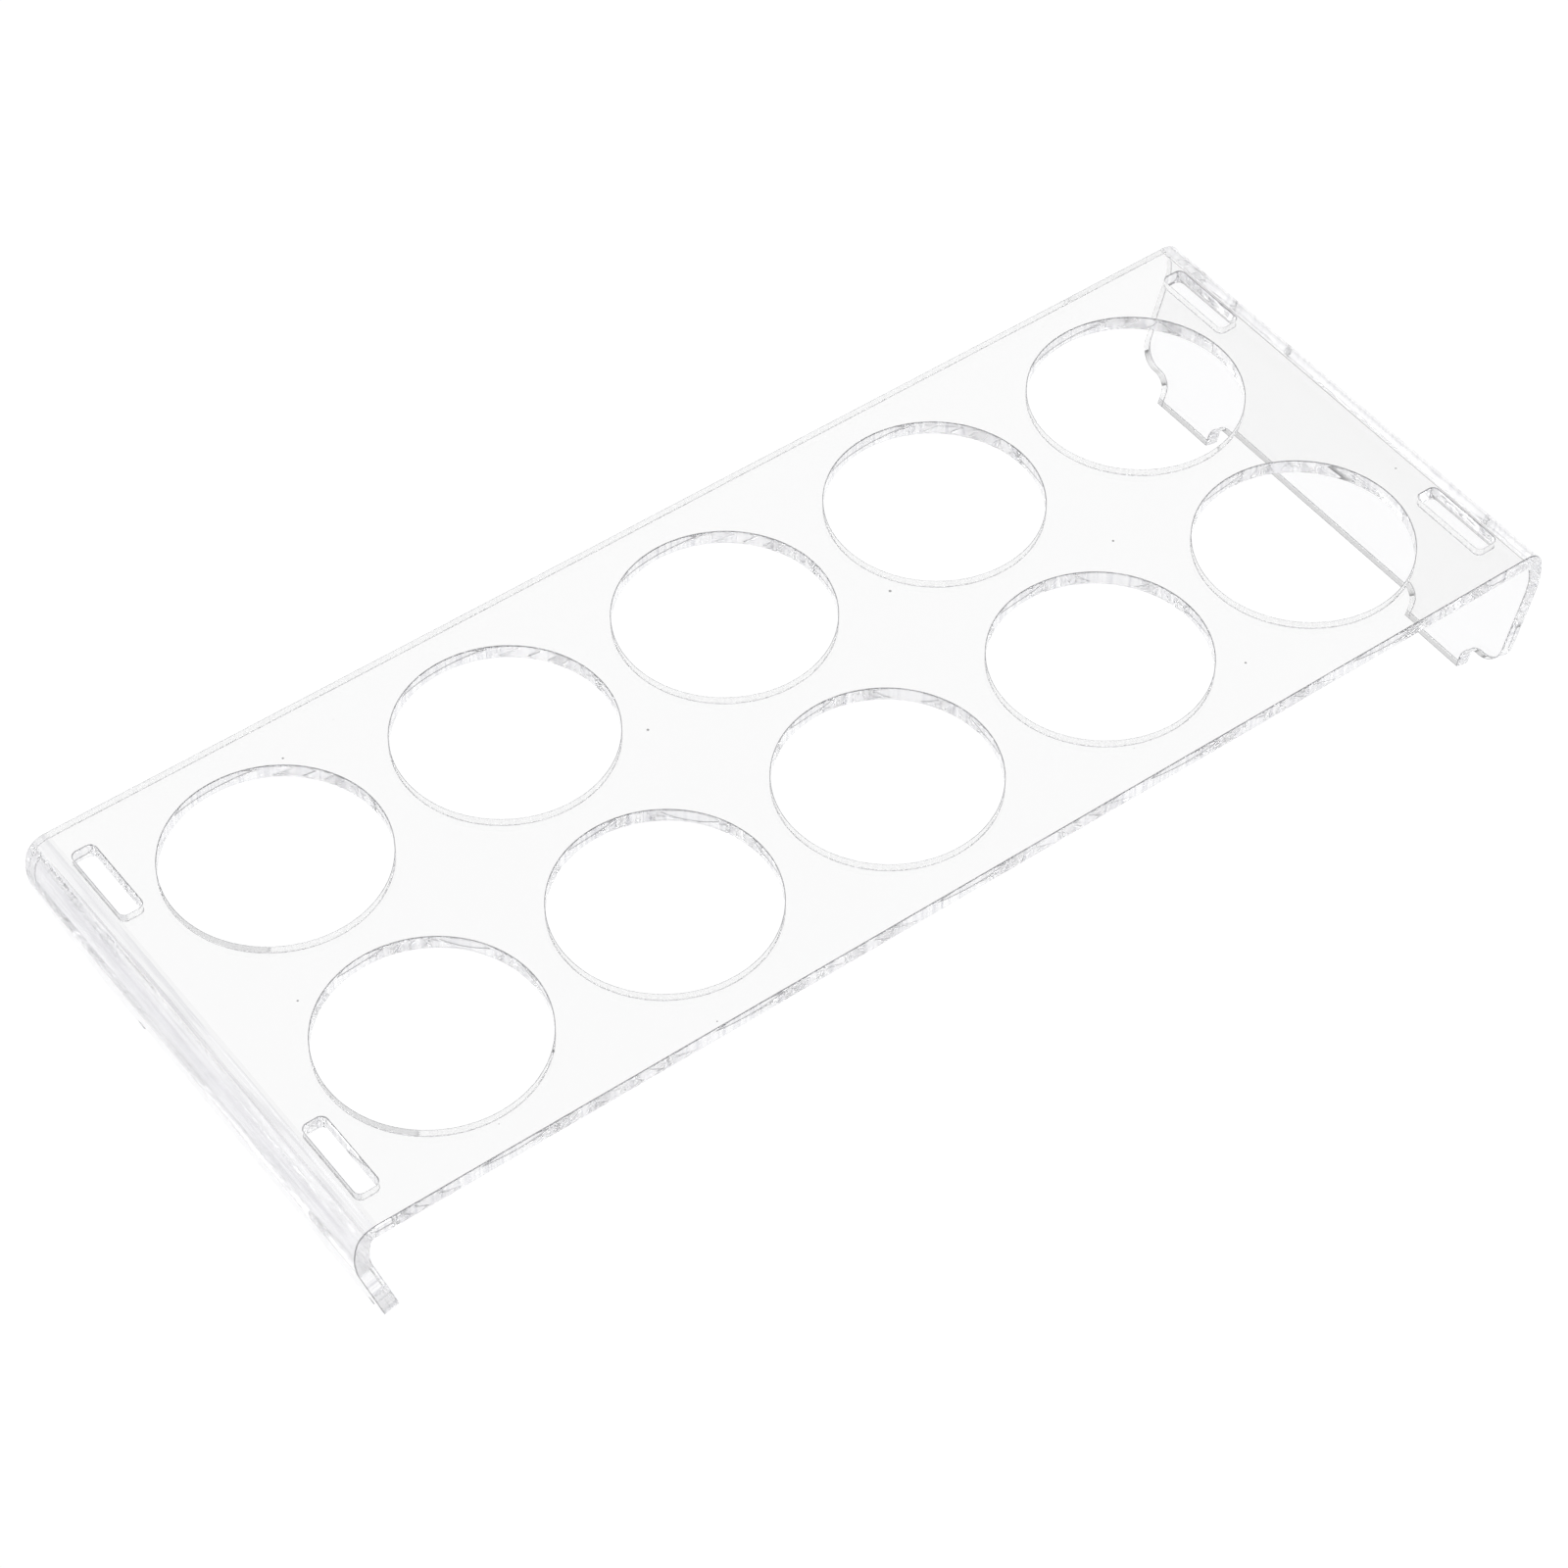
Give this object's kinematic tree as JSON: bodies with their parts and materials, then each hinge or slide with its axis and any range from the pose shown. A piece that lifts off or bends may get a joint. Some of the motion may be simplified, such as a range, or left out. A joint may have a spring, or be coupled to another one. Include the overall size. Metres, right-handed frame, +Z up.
{
  "type": "stackable holder tray",
  "caption": "Clear bent-sheet tray with rows of round holes in a flat deck, inward-leaning end legs with small feet, and slots that take the feet of a tray stacked on top.",
  "frame": {"origin": "centre of the footprint at table height, where the feet's lower edges stand", "axes": "+X along the length, +Y across the width, +Z up through the deck"},
  "size_m": [0.254, 0.1016, 0.0325],
  "materials": {
    "clear_acrylic": "clear, polished faces; laser-cut glossy edges"
  },
  "bodies": {
    "root": {"tray": "clear_acrylic"}
  },
  "joints": []
}
